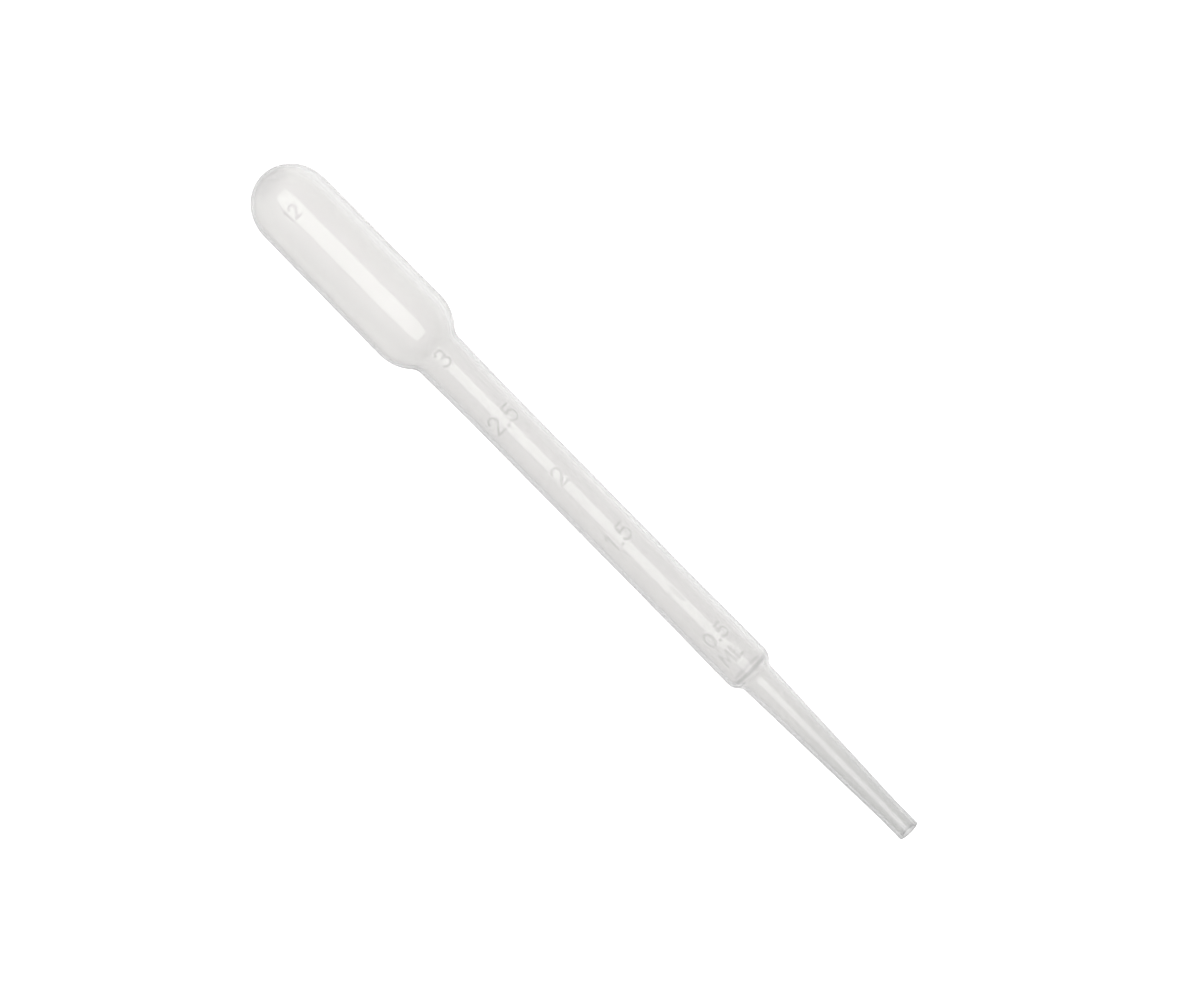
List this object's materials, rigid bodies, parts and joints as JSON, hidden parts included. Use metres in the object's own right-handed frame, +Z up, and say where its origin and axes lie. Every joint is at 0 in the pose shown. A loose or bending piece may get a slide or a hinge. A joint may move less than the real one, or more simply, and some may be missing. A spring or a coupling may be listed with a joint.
{
  "type": "plastic dropper pipette",
  "caption": "Disposable transfer pipette with a squeeze bulb, a straight graduated stem and a drawn tip, blow-moulded whole in milky plastic.",
  "frame": {"origin": "on the bench, under the middle of the pipette's box as it lies at rest", "axes": "+X along the bench from the bulb towards the tip, +Z up, with the graduations on top"},
  "size_m": [0.15, 0.014, 0.0148],
  "materials": {
    "milky_polyethylene": "satin, translucent"
  },
  "bodies": {
    "root": {"pipette": "milky_polyethylene"}
  },
  "joints": []
}
